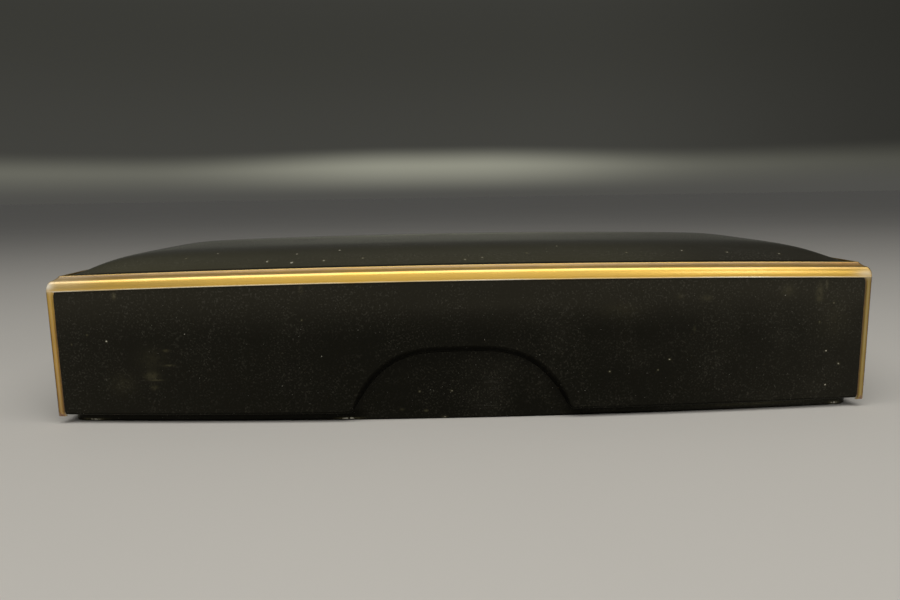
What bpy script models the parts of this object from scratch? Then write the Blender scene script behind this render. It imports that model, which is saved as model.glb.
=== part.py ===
"""Lacquer letter box: a shallow tray with a cap lid that slips over it and lifts off.

The box stands on its underside at z = 0, with its length along X and its front at -Y. The plan is a
rectangle with gently bowed sides. Each piece is a stack of closed loops that follow this plan, inset and
raised as its section asks. The lid's swelled top and its underside are grids that grow from a loop.
"""

import math

import bmesh
import bpy

MM = 0.001

# Plan of the lid, measured between its outer corners
LID_LENGTH = 330.0 * MM
LID_DEPTH = 160.0 * MM
FRONT_BOW = 7.5 * MM       # the long sides swell out by this at their middle
END_BOW = 2.4 * MM         # and the short sides by this
CORNER_ROUND = 0.9 * MM

# Heights of the lid at its corners
WALL_FOOT = 4.0 * MM       # lowest edge of the lid's walls above the table
EDGE_TOP = 59.9 * MM       # top of the moulded edge
EDGE_CROWN = 2.6 * MM      # the edge and the top arch up by this along the length

# Swell of the top, from the foot of its shoulders
DOME_RISE = 6.0 * MM
DOME_POWER_LENGTH = 24.0   # how late the swell falls away towards the short sides
DOME_POWER_DEPTH = 5.4     # and towards the long sides

# Walls and top of the lid
LID_WALL = 2.8 * MM
LID_BOARD = 3.6 * MM
LID_INNER_CORNER = 2.2 * MM
FOOT_ROUND = 0.4 * MM
LEDGE_BEYOND_DOME = 1.5 * MM   # the flat ledge on the underside runs this far in under the swell

# Moulded edge: lower arris, round, cove and top fillet, then a sunk line before the swell
EDGE_HEIGHT = 6.1 * MM
EDGE_WIDTH = 4.4 * MM
ARRIS_HEIGHT = 0.5 * MM
ARRIS_UNDERCUT = 0.1 * MM  # the arris's underside rises by this from the panel to its edge
HOLLOW_DEPTH = 0.15 * MM
HOLLOW_HEIGHT = 0.9 * MM
ROUND_WIDTH = 1.9 * MM
COVE_HEIGHT = 1.7 * MM
COVE_DEPTH = 0.35 * MM
FILLET_WIDTH = 0.8 * MM
FILLET_ROUND = 0.1 * MM
SUNK_LINE_WIDTH = 2.0 * MM
SUNK_LINE_DEPTH = 0.5 * MM
ROUND_STEPS = 4
COVE_STEPS = 3

# Gilt beads down the corners, and the black panels sunk between them
PANEL_SINK = 0.5 * MM
BEAD_WIDTH = 2.6 * MM
BEAD_STEP = 0.35 * MM

# Grip notches in both long walls
NOTCH_WIDTH = 87.0 * MM
NOTCH_HEIGHT = 26.5 * MM
NOTCH_POWER = 3.2          # full shoulders, with the feet slanting outwards
NOTCH_POINTS = 24
NOTCH_RUNOUT = 3.0 * MM    # the cutter starts this far below the wall and ends this far outside it

# Tray under the lid
SIDE_CLEARANCE = 0.5 * MM
CORNER_EASE = 0.6 * MM     # the tray's corners are rounder than the lid's by this
REST_GAP = 0.3 * MM
TRAY_WALL = 3.4 * MM
TRAY_FLOOR = 3.6 * MM
TRAY_INNER_CORNER = 2.2 * MM
TRAY_FOOT_ROUND = 0.6 * MM
TRAY_RIM_ROUND = 0.5 * MM
TRAY_COVE = 2.4 * MM       # round where the walls meet the floor

# Places along half a side where the loops have points, as shares from the corner to the middle
LONG_SHARES = (0.05, 0.10, 0.18, 0.30, 0.47, 0.70, 1.0)
SHORT_SHARES = (0.085, 0.16, 0.28, 0.46, 0.70, 1.0)
TRAY_SHARES = (0.12, 0.28, 0.50, 0.74, 1.0)
LID_CORNER_STEPS = 3
TRAY_CORNER_STEPS = 5
ARC_STEPS = 3              # segments in each small round of a section

# Sizes that follow from those above
DOME_FOOT_INSET = EDGE_WIDTH + SUNK_LINE_WIDTH
DOME_FOOT_HEIGHT = EDGE_TOP - SUNK_LINE_DEPTH
LEDGE_HEIGHT = DOME_FOOT_HEIGHT - LID_BOARD
LID_INNER_INSET = PANEL_SINK + LID_WALL
TRAY_INSET = LID_INNER_INSET + SIDE_CLEARANCE
TRAY_CORNER = LID_INNER_CORNER + CORNER_EASE
TRAY_RIM = LEDGE_HEIGHT - REST_GAP

BLACK_LACQUER = {"colour": (0.012, 0.010, 0.008), "roughness": 0.16, "metallic": 0.0}
GOLD_LACQUER = {"colour": (0.52, 0.33, 0.09), "roughness": 0.34, "metallic": 0.85}


def clear_scene():
    for item in list(bpy.data.objects):
        bpy.data.objects.remove(item, do_unlink=True)


def lacquer(name, finish):
    material = bpy.data.materials.new(name)
    material.use_nodes = True
    shader = material.node_tree.nodes["Principled BSDF"]
    shader.inputs["Base Color"].default_value = (*finish["colour"], 1.0)
    shader.inputs["Roughness"].default_value = finish["roughness"]
    shader.inputs["Metallic"].default_value = finish["metallic"]
    shader.inputs["Coat Weight"].default_value = 0.5
    return material


def plan_point(u, v, inset):
    """A point of the bowed plan, inset from the outer skin. u and v run from -1 to 1 along X and Y."""
    x = u * (LID_LENGTH / 2 - inset + END_BOW * (1 - v * v))
    y = v * (LID_DEPTH / 2 - inset + FRONT_BOW * (1 - u * u))
    return x, y


def arch(x):
    """Height that the top gains from its lengthwise arch."""
    return EDGE_CROWN * (1 - (x / (LID_LENGTH / 2)) ** 2)


def swell(u, v):
    """Height of the swelled top over its foot: full in the middle and nothing on all four sides."""
    return DOME_RISE * (1 - abs(u) ** DOME_POWER_LENGTH) * (1 - abs(v) ** DOME_POWER_DEPTH)


def lid_marks(half, shares):
    """Stations along half a side, each with its sink: 0 on the corner bead and 1 on the black panel."""
    bead_foot = BEAD_WIDTH + BEAD_STEP
    marks = [(BEAD_WIDTH * 0.6, 0.0), (BEAD_WIDTH, 0.25), (bead_foot, 1.0)]
    marks += [(bead_foot + (half - bead_foot) * share, 1.0) for share in shares]
    return [((distance - CORNER_ROUND) / (half - CORNER_ROUND), sink) for distance, sink in marks]


def tray_marks():
    return [(share, 0.0) for share in TRAY_SHARES]


class Plan:
    """Loops round the bowed rectangle, all with as many points, and the grids that fill them."""

    def __init__(self, mesh, long_marks, short_marks, corner_steps):
        self.mesh = mesh
        self.columns = self.mirrored(long_marks)
        self.rows = self.mirrored(short_marks)
        self.corner_steps = corner_steps

    def mirrored(self, marks):
        """The half side's stations from end to end, each as a place from -1 to 1 and its sink."""
        first_half = [(share - 1, sink) for share, sink in marks]
        return first_half + [(-place, sink) for place, sink in reversed(first_half[:-1])]

    def stations(self):
        """Every point of a loop, anticlockwise from the left front corner.

        Each is (side place along X, side place along Y, turn of a corner arc or None, sink).
        """
        points = []
        for corner in range(4):
            side_x = (-1, 1, 1, -1)[corner]
            side_y = (-1, -1, 1, 1)[corner]
            for step in range(self.corner_steps):
                quarter_turns = 2 + corner + step / (self.corner_steps - 1)
                points.append((side_x, side_y, quarter_turns * math.pi / 2, 0.0))
            along = self.columns if corner % 2 == 0 else self.rows
            order = along if corner < 2 else list(reversed(along))
            for place, sink in order:
                if corner % 2 == 0:
                    points.append((place, side_y, None, sink))
                else:
                    points.append((side_x, place, None, sink))
        return points

    def loop(self, inset, height, radius, sink=0.0, arched=False):
        """Add one closed loop of vertices at this inset and height, with round corners."""
        half_x = LID_LENGTH / 2 - inset
        half_y = LID_DEPTH / 2 - inset
        vertices = []
        for place_x, place_y, turn, share in self.stations():
            flat_x = place_x * half_x
            flat_y = place_y * half_y
            if turn is not None:
                flat_x = place_x * (half_x - radius) + radius * math.cos(turn)
                flat_y = place_y * (half_y - radius) + radius * math.sin(turn)
            elif abs(place_x) == 1:
                flat_y = place_y * (half_y - radius)
            else:
                flat_x = place_x * (half_x - radius)
            x, y = plan_point(flat_x / half_x, flat_y / half_y, inset + sink * share)
            z = height + arch(x) if arched else height
            vertices.append(self.mesh.verts.new((x, y, z)))
        return vertices

    def bridge(self, first, second, material=0):
        """Join two loops with a band of quads."""
        count = len(first)
        band = []
        for k in range(count):
            following = (k + 1) % count
            face = self.mesh.faces.new((first[k], first[following], second[following], second[k]))
            face.material_index = material
            band.append(face)
        return band

    def stack(self, loops, material=0):
        return [self.bridge(lower, upper, material) for lower, upper in zip(loops, loops[1:])]

    def grid(self, loop, inset, height):
        """Fill a loop with the arched, swelled surface whose foot lies at this inset and height."""
        us = [-1.0] + [place for place, _ in self.columns] + [1.0]
        vs = [-1.0] + [place for place, _ in self.rows] + [1.0]
        lattice = []
        for v in vs:
            line = []
            for u in us:
                x, y = plan_point(u, v, inset)
                line.append(self.mesh.verts.new((x, y, height + arch(x) + swell(u, v))))
            lattice.append(line)
        for row in range(len(vs) - 1):
            for column in range(len(us) - 1):
                corners = (lattice[row][column], lattice[row][column + 1],
                           lattice[row + 1][column + 1], lattice[row + 1][column])
                self.mesh.faces.new(corners)
        self.join_border(loop, self.border(lattice))

    def border(self, lattice):
        """The lattice's outer vertices in the loop's order. A corner's vertex serves its whole arc."""
        first, last = lattice[0], lattice[-1]
        sides = (
            (first[0], first[1:-1]),
            (first[-1], [line[-1] for line in lattice[1:-1]]),
            (last[-1], last[-2:0:-1]),
            (last[0], [line[0] for line in lattice[-2:0:-1]]),
        )
        border = []
        for corner, side in sides:
            border += [corner] * self.corner_steps + list(side)
        return border

    def join_border(self, loop, border):
        count = len(loop)
        for k in range(count):
            following = (k + 1) % count
            corners = [loop[k], loop[following], border[following]]
            if border[k] is not border[following]:
                corners.append(border[k])
            self.mesh.faces.new(corners)


def edge_section():
    """Inset and height of the moulded edge, from its sharp lower arris up to the sunk line."""
    foot = EDGE_TOP - EDGE_HEIGHT
    round_foot = foot + ARRIS_HEIGHT + HOLLOW_HEIGHT
    round_top = EDGE_TOP - COVE_HEIGHT
    section = [
        (0.0, foot + ARRIS_UNDERCUT),
        (0.0, foot + ARRIS_HEIGHT),
        (HOLLOW_DEPTH, foot + ARRIS_HEIGHT + HOLLOW_HEIGHT / 2),
        (0.0, round_foot),
    ]
    for step in range(1, ROUND_STEPS + 1):
        turn = math.pi / 2 * step / ROUND_STEPS
        section.append((ROUND_WIDTH * (1 - math.cos(turn)), round_foot + (round_top - round_foot) * math.sin(turn)))
    cove_width = EDGE_WIDTH - FILLET_WIDTH - ROUND_WIDTH
    for step in range(1, COVE_STEPS):
        share = step / COVE_STEPS
        drop = COVE_DEPTH * math.sin(math.pi * share)
        section.append((ROUND_WIDTH + cove_width * share, round_top + COVE_HEIGHT * share - drop))
    section += [
        (EDGE_WIDTH - FILLET_WIDTH, EDGE_TOP - FILLET_ROUND),
        (EDGE_WIDTH - FILLET_WIDTH / 2, EDGE_TOP),
        (EDGE_WIDTH, EDGE_TOP - FILLET_ROUND),
        (EDGE_WIDTH, DOME_FOOT_HEIGHT),
    ]
    return section


def gild_beads(plan, band):
    """Give the corner beads in a band of the wall the gold finish."""
    sinks = [sink for _, _, _, sink in plan.stations()]
    for k, face in enumerate(band):
        if min(sinks[k], sinks[(k + 1) % len(sinks)]) < 1.0:
            face.material_index = 1


def finish_object(name, mesh, materials):
    bmesh.ops.recalc_face_normals(mesh, faces=mesh.faces)
    data = bpy.data.meshes.new(name)
    mesh.to_mesh(data)
    mesh.free()
    for material in materials:
        data.materials.append(material)
    item = bpy.data.objects.new(name, data)
    bpy.context.scene.collection.objects.link(item)
    data.shade_smooth()
    data.set_sharp_from_angle(angle=math.radians(30))
    return item


def make_lid(black, gold):
    mesh = bmesh.new()
    plan = Plan(mesh, lid_marks(LID_LENGTH / 2, LONG_SHARES), lid_marks(LID_DEPTH / 2, SHORT_SHARES), LID_CORNER_STEPS)

    ledge_inset = DOME_FOOT_INSET + LEDGE_BEYOND_DOME
    ledge = plan.loop(ledge_inset, LEDGE_HEIGHT, LID_INNER_CORNER, arched=True)
    inner_top = plan.loop(LID_INNER_INSET, LEDGE_HEIGHT, LID_INNER_CORNER, arched=True)
    inner_foot = plan.loop(LID_INNER_INSET, WALL_FOOT, LID_INNER_CORNER)
    plan.stack([ledge, inner_top, inner_foot])
    plan.grid(ledge, ledge_inset + FILLET_ROUND, LEDGE_HEIGHT)

    foot = plan.loop(FOOT_ROUND, WALL_FOOT, CORNER_ROUND, sink=PANEL_SINK)
    wall_foot = plan.loop(0.0, WALL_FOOT + FOOT_ROUND, CORNER_ROUND, sink=PANEL_SINK)
    wall_top = plan.loop(0.0, EDGE_TOP - EDGE_HEIGHT, CORNER_ROUND, sink=PANEL_SINK, arched=True)
    plan.bridge(inner_foot, foot)
    for band in plan.stack([foot, wall_foot, wall_top]):
        gild_beads(plan, band)

    edge = [plan.loop(inset, height, CORNER_ROUND, arched=True) for inset, height in edge_section()]
    plan.bridge(wall_top, edge[0], material=1)
    plan.stack(edge, material=1)
    dome_foot = plan.loop(DOME_FOOT_INSET, DOME_FOOT_HEIGHT, CORNER_ROUND, arched=True)
    plan.bridge(edge[-1], dome_foot)
    plan.grid(dome_foot, DOME_FOOT_INSET + FILLET_ROUND, DOME_FOOT_HEIGHT)
    return finish_object("lid", mesh, (black, gold))


def make_notch_cutter():
    """A prism right through the lid whose section is the grip notch: height times 1 minus share to a power."""
    mesh = bmesh.new()
    half = NOTCH_WIDTH / 2
    outline = [(-half, WALL_FOOT - NOTCH_RUNOUT)]
    for step in range(NOTCH_POINTS + 1):
        share = -math.cos(math.pi * step / NOTCH_POINTS)
        outline.append((half * share, WALL_FOOT + NOTCH_HEIGHT * (1 - abs(share) ** NOTCH_POWER)))
    outline.append((half, WALL_FOOT - NOTCH_RUNOUT))
    reach = LID_DEPTH / 2 + FRONT_BOW + NOTCH_RUNOUT
    near = mesh.faces.new([mesh.verts.new((x, -reach, z)) for x, z in outline])
    extruded = bmesh.ops.extrude_face_region(mesh, geom=[near])
    moved = [item for item in extruded["geom"] if isinstance(item, bmesh.types.BMVert)]
    bmesh.ops.translate(mesh, verts=moved, vec=(0, 2 * reach, 0))
    cutter = finish_object("notch_cutter", mesh, ())
    cutter.hide_render = True
    cutter.display_type = "WIRE"
    return cutter


def cut_notches(lid, cutter):
    cut = lid.modifiers.new("grip notches", "BOOLEAN")
    cut.operation = "DIFFERENCE"
    cut.object = cutter


def make_tray(black):
    mesh = bmesh.new()
    plan = Plan(mesh, tray_marks(), tray_marks(), TRAY_CORNER_STEPS)
    inner_inset = TRAY_INSET + TRAY_WALL

    loops = []
    for step in range(ARC_STEPS + 1):
        turn = math.pi / 2 * step / ARC_STEPS
        inset = TRAY_INSET + TRAY_FOOT_ROUND * (1 - math.sin(turn))
        loops.append(plan.loop(inset, TRAY_FOOT_ROUND * (1 - math.cos(turn)), TRAY_CORNER))
    underside = loops[0]
    loops.append(plan.loop(TRAY_INSET, TRAY_RIM - TRAY_RIM_ROUND, TRAY_CORNER, arched=True))
    loops.append(plan.loop(TRAY_INSET + TRAY_RIM_ROUND, TRAY_RIM, TRAY_CORNER, arched=True))
    loops.append(plan.loop(inner_inset - TRAY_RIM_ROUND, TRAY_RIM, TRAY_INNER_CORNER, arched=True))
    loops.append(plan.loop(inner_inset, TRAY_RIM - TRAY_RIM_ROUND, TRAY_INNER_CORNER, arched=True))
    for step in range(ARC_STEPS + 1):
        turn = math.pi / 2 * step / ARC_STEPS
        inset = inner_inset + TRAY_COVE * (1 - math.cos(turn))
        height = TRAY_FLOOR + TRAY_COVE * (1 - math.sin(turn))
        loops.append(plan.loop(inset, height, TRAY_INNER_CORNER))
    plan.stack(loops)
    mesh.faces.new(list(reversed(underside)))
    mesh.faces.new(loops[-1])
    return finish_object("box_body", mesh, (black,))


def main():
    clear_scene()
    black = lacquer("black lacquer", BLACK_LACQUER)
    gold = lacquer("gold lacquer", GOLD_LACQUER)
    lid = make_lid(black, gold)
    cut_notches(lid, make_notch_cutter())
    make_tray(black)


main()
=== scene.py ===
"""Looks of a black lacquer letter box with a gilt moulded edge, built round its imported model.

The box stands at the origin with its length along X and its front at -Y. Every piece is a lofted grid of
points: closed loops that follow the bowed plan, laid one after another from the inside to the outside.
"""
import math

import bmesh
import bpy
import numpy as np
from bpy.props import FloatProperty, FloatVectorProperty, PointerProperty
from bpy.types import Operator, Panel, PropertyGroup
from mathutils import Matrix, Vector


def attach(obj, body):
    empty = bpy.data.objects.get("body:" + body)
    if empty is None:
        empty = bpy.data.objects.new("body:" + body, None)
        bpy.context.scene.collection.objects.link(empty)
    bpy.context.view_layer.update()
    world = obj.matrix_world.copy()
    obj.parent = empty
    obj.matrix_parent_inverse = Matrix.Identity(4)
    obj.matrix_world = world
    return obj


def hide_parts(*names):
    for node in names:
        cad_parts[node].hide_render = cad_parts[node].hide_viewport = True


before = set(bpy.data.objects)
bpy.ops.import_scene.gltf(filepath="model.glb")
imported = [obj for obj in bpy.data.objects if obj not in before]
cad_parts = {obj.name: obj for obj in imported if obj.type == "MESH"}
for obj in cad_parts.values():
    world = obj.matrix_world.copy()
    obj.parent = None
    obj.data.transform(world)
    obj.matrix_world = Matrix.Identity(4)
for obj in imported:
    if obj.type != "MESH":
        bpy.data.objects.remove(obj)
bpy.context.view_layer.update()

bl_info = {
    "name": "Lacquer Letter Box",
    "version": (1, 0, 0),
    "blender": (4, 5, 0),
    "location": "View3D > Sidebar > Letter Box",
    "description": "Makes a black lacquer letter box with a gilt moulded edge, and a small stage for it",
    "category": "Add Mesh",
}

MM = 0.001
CREASE_ANGLE = math.radians(38)
MERGE_DISTANCE = 1e-6
HALF_LENGTH = 165 * MM
LAMP_TINT = (1.0, 0.97, 0.92)

# Length, width, turn and thinness of each set of hairlines in the black lacquer
HAIRLINES = (
    (60 * MM, 1.6 * MM, (0.0, 0.06, 0.02), 0.006),
    (35 * MM, 1.3 * MM, (0.0, 0.55, 0.35), 0.0045),
    (28 * MM, 1.2 * MM, (0.2, -0.8, 1.1), 0.0045),
    (22 * MM, 1.0 * MM, (0.5, 1.25, -0.6), 0.0045),
)
# Cell, radius, commonness and strength of each kind of round dust speck
DUST = (
    (3.1 * MM, 0.15 * MM, 1.0, 1.0),
    (7.7 * MM, 0.26 * MM, 1.4, 1.0),
    (1.7 * MM, 0.17 * MM, 1.0, 0.4),
)

# Smudges and dried spots: strength, X, Z, reach along X and reach along Z, in millimetres
LID_FRONT_MARKS = (
    (0.60, -137.5, 52.3, 0.8, 1.3), (0.45, -63.6, 54.2, 0.8, 1.6), (0.38, 143.0, 48.9, 1.5, 3.4),
    (0.22, 143.0, 45.8, 1.3, 1.1), (0.25, 129.4, 49.7, 2.4, 2.4), (0.40, 145.8, 51.7, 0.6, 2.0),
    (0.42, -124.9, 19.9, 2.6, 1.6), (0.42, -123.0, 18.2, 2.4, 0.35), (0.35, -124.2, 15.1, 1.4, 1.0),
    (0.45, -117.4, 24.2, 2.0, 0.4), (0.40, -118.4, 30.2, 1.3, 0.5), (0.14, -137.0, 16.7, 5.0, 4.0),
    (0.12, -124.7, 26.5, 5.0, 4.5), (0.28, 96.1, 47.5, 2.2, 1.1), (0.20, 85.5, 48.5, 1.5, 1.0),
    (0.20, 91.6, 35.1, 0.6, 1.2), (0.12, 62.0, 43.8, 8.0, 3.0), (0.10, 150.0, 38.0, 7.0, 9.0),
    (1.30, -142.2, 34.1, 0.4, 0.4), (1.00, -156.8, 32.8, 0.4, 0.4), (1.50, 147.3, 24.3, 0.4, 0.35),
    (1.50, 147.9, 10.0, 0.4, 0.35), (1.10, 153.1, 18.7, 0.5, 0.5), (1.00, 81.8, 23.0, 0.5, 0.4),
    (0.80, 77.2, 18.8, 0.4, 0.35), (0.90, 57.6, 18.8, 0.45, 0.4), (0.80, -63.7, 41.9, 0.4, 0.4),
    (0.70, 149.3, 43.9, 0.4, 0.4), (0.60, 143.7, 36.3, 0.4, 0.4), (0.60, -149.9, 36.7, 0.4, 0.4),
)
# The tray's marks, in the same columns. Those at Z under 2.5 mm are painted glints along the foot, and the
# long one a painted lighter strip
TRAY_FRONT_MARKS = (
    (1.50, -18.4, 11.5, 0.45, 0.35), (1.50, -5.6, 11.5, 0.45, 0.35), (0.60, -16.0, 3.5, 0.8, 0.5),
    (0.35, -25.7, 4.2, 0.8, 0.5), (1.30, -8.7, 0.7, 0.9, 0.4), (1.10, -152.0, 0.8, 4.0, 0.4),
    (1.50, -47.0, 0.8, 4.0, 0.35), (1.20, 154.5, 1.0, 2.0, 0.6), (0.30, 120.0, 2.2, 20.0, 0.6),
)
# Dried spots on the swelled top: strength, X, Y and Z, in millimetres
LID_TOP_MARKS = (
    (1.50, -104.5, -54.3, 66.1), (1.00, -69.1, -62.4, 65.9), (1.40, -52.0, -57.1, 66.8),
    (1.50, -79.2, -71.8, 63.9), (1.50, -69.0, -74.1, 63.5), (0.90, -56.2, -73.3, 64.0),
    (0.80, -40.6, -71.9, 64.6), (0.90, -134.5, -14.1, 66.2), (0.80, -115.4, -62.2, 64.9),
    (0.80, 41.1, -56.5, 67.0), (0.60, 26.6, -69.5, 65.3), (0.80, 7.8, -74.5, 64.2),
    (0.80, 0.8, -76.3, 63.7), (0.70, 67.9, -69.3, 64.7), (1.00, 92.2, -65.9, 64.9),
    (1.00, 110.6, -67.3, 64.0), (0.80, 132.4, -67.8, 63.1),
)


def size(name, millimetres, description):
    return FloatProperty(
        name=name, description=description, default=millimetres * MM, unit="LENGTH", precision=5)


def tint(name, colour, description):
    return FloatVectorProperty(name=name, description=description, default=colour, subtype="COLOR", size=3)


def amount(name, value, description):
    return FloatProperty(name=name, description=description, default=value, min=0.0, subtype="FACTOR")


def power(name, watts, description):
    return FloatProperty(name=name, description=description, default=watts, min=0.0, unit="POWER")


class LetterBoxSizes(PropertyGroup):
    """Sizes of the lid and of the tray under it."""

    length: size("Length", 330.0, "Length of the lid between its corners")
    depth: size("Depth", 160.0, "Depth of the lid between its corners")
    front_bow: size("Front Bow", 7.5, "How far the long sides swell out at their middle")
    end_bow: size("End Bow", 2.4, "How far the short sides swell out at their middle")
    corner_round: size("Corner Round", 0.9, "Radius of the upright corners")
    wall_foot: size("Wall Foot", 3.75, "Height of the lid's lower edge over the floor")
    edge_top: size("Edge Top", 59.9, "Height of the moulded edge at the corners")
    edge_crown: size("Edge Crown", 2.6, "How far the edge arches up at the middle of the length")
    dome_rise: size("Dome Rise", 6.0, "Rise of the swelled top over its foot")
    lid_wall: size("Lid Wall", 2.8, "Thickness of the lid's walls")
    lid_board: size("Lid Board", 3.6, "Thickness of the lid's top")
    edge_height: size("Edge Height", 6.1, "Height of the moulded edge")
    edge_width: size("Edge Width", 4.4, "Width of the moulded edge seen from above")
    sunk_line: size("Sunk Line", 2.0, "Width of the sunk line between the edge and the swelled top")
    sunk_depth: size("Sunk Depth", 0.5, "Depth of the sunk line")
    panel_sink: size("Panel Sink", 0.5, "How far the black panels lie behind the gilt beads")
    bead_width: size("Bead Width", 2.75, "Width of the gilt beads down the corners")
    bead_foot: size("Bead Foot", 3.15, "Height of the lower ends of the gilt beads over the floor")
    notch_width: size("Notch Width", 87.4, "Width of the grip notches inside their soft edge")
    notch_place: size("Notch Place", -1.6, "How far the grip notches stand off the middle of the length")
    notch_height: size("Notch Height", 24.4, "Height of the grip notches inside their soft edge")
    clearance: size("Clearance", 0.5, "Gap between the lid's walls and the tray")
    rest_gap: size("Rest Gap", 0.3, "Gap between the tray's rim and the lid's underside")
    tray_wall: size("Tray Wall", 3.4, "Thickness of the tray's walls")
    tray_floor: size("Tray Floor", 3.6, "Thickness of the tray's floor")
    notch_power: FloatProperty(
        name="Notch Power", default=3.5, min=1.0,
        description="Fullness of the grip notch's shoulders",
    )
    dome_power_length: FloatProperty(
        name="Dome Power Along", default=24.0, min=2.0,
        description="How late the swelled top falls away towards the short sides",
    )
    dome_power_depth: FloatProperty(
        name="Dome Power Across", default=5.4, min=2.0,
        description="How late the swelled top falls away towards the long sides",
    )


class LetterBoxFinish(PropertyGroup):
    """Colours and amounts of the lacquers, of their wear, and of the light and shade painted on them."""

    black: tint("Black", (0.0048, 0.0046, 0.0030), "Colour of the black lacquer")
    # Lighter black: lacquer that has lost its depth, and a painted sheen up the walls, towards the ends and
    # on the top
    bloom_and_sheen: tint("Bloom", (0.024, 0.0222, 0.0155), "Black lacquer where it has lost its depth")
    # Lighter black towards the front of the swelled top, most at the left
    lighter_top: tint("Faded", (0.060, 0.057, 0.032), "Black lacquer where the swelled top has faded")
    # Painted shade: the darkest black, round the lid's foot, in the sunk line and along the tray's foot
    painted_shade_black: tint("Unpolished", (0.0012, 0.0011, 0.0009), "Black lacquer along its unpolished edges")
    rubbed: tint("Rubbed", (0.050, 0.028, 0.016), "Under coat where edges are rubbed through")
    dust: tint("Dust", (0.55, 0.53, 0.46), "Colour of dust")
    stain: tint("Stain", (0.28, 0.255, 0.135), "Colour of dried marks and smudges")
    gold: tint("Gold", (0.94, 0.585, 0.092), "Colour of the gold lacquer")
    # Painted shade on the slope under the fillet, and the darker streaks
    streak_and_shade_gold: tint("Deep Gold", (0.34, 0.220, 0.092), "Gold lacquer on the slope under the fillet")
    # Painted shade on the upright beads
    shaded_bead_gold: tint("Bead Gold", (0.66, 0.37, 0.050), "Gold lacquer on the upright beads")
    brown_gold: tint("Brown Gold", (0.15, 0.075, 0.028), "Gold lacquer along the beads' borders")
    red_gold: tint("Red Gold", (0.60, 0.26, 0.045), "Gold lacquer on the ridges near the front right corner")
    # Painted highlights and glints: pale gold on the lips and the bulge's top, and near-white glints on the
    # arris and at the corners
    highlight_gold: tint("Pale Gold", (0.95, 0.84, 0.58), "Gold lacquer along its polished edges")
    polished: tint("Polished", (1.0, 0.94, 0.80), "Gold lacquer where its edges are polished most")
    dull_gold: tint("Dull Gold", (0.46, 0.35, 0.10), "Gold lacquer where it has dulled")
    # Painted shade on the beads at the right
    shaded_right_gold: tint("Olive Gold", (0.30, 0.215, 0.032), "Gold lacquer on the beads at the right")
    bare_wood: tint("Bare Wood", (0.17, 0.062, 0.035), "Red under coat at worn tips")
    dust_amount: amount("Dust Amount", 0.5, "Share of the dust specks that show")
    gloss: amount("Roughness", 0.10, "Roughness of the polished black lacquer")
    gold_roughness: amount("Gold Roughness", 0.36, "Roughness of the gold lacquer")


class LetterBoxStage(PropertyGroup):
    """Floor, lights and camera."""

    floor: tint("Floor", (0.68, 0.665, 0.63), "Colour of the floor")
    haze: tint("Haze", (0.280, 0.280, 0.225), "Light of the soft band over the horizon")
    horizon: tint("Horizon", (0.078, 0.077, 0.070), "Light at the horizon, as light as the far floor")
    backdrop: tint("Backdrop", (0.036, 0.036, 0.030), "Light that comes from over the horizon")
    dim: tint("Dim", (0.010, 0.010, 0.008), "Light that comes from the right")
    sky: tint("Sky", (0.16, 0.16, 0.16), "Light that comes from straight above")
    camera_place: FloatVectorProperty(
        name="Camera Place", default=(-0.010664, -0.349961, 0.089167), subtype="TRANSLATION", unit="LENGTH",
        description="Where the camera stands",
    )
    camera_turn: FloatVectorProperty(
        name="Camera Turn", default=(math.radians(8.6882), math.radians(-0.9143), math.radians(-1.0835)),
        subtype="EULER", description="Tilt down, roll and turn to the left of the camera",
    )
    lens: FloatProperty(
        name="Lens", default=27.348, min=1.0, unit="CAMERA", description="Focal length of the camera")
    overhead: power("Overhead", 13.2, "Power of the soft light above")
    front: power("Front", 4.5, "Power of the wide light in front")
    side: power("Side", 1.2, "Power of the small light at the right")


def spread(half, count, spots):
    """Places from -half to half, closer together near each spot.

    The points per length are 1 plus, for each spot, its pull divided by 1 plus its squared distance in
    widths.
    """
    fine = np.linspace(-half, half, 8001)
    density = np.ones_like(fine)
    for centre, width, pull in spots:
        density += pull / (1 + ((fine - centre) / width) ** 2)
    total = np.concatenate([[0.0], np.cumsum((density[1:] + density[:-1]) / 2)])
    return np.interp(np.linspace(0, total[-1], count), total, fine)


def column(values):
    """Values as a column, one for each loop of a loft. A table of loops by stations stays as it is."""
    values = np.asarray(values, float)
    return values if values.ndim == 2 else values.reshape(-1, 1)


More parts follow.
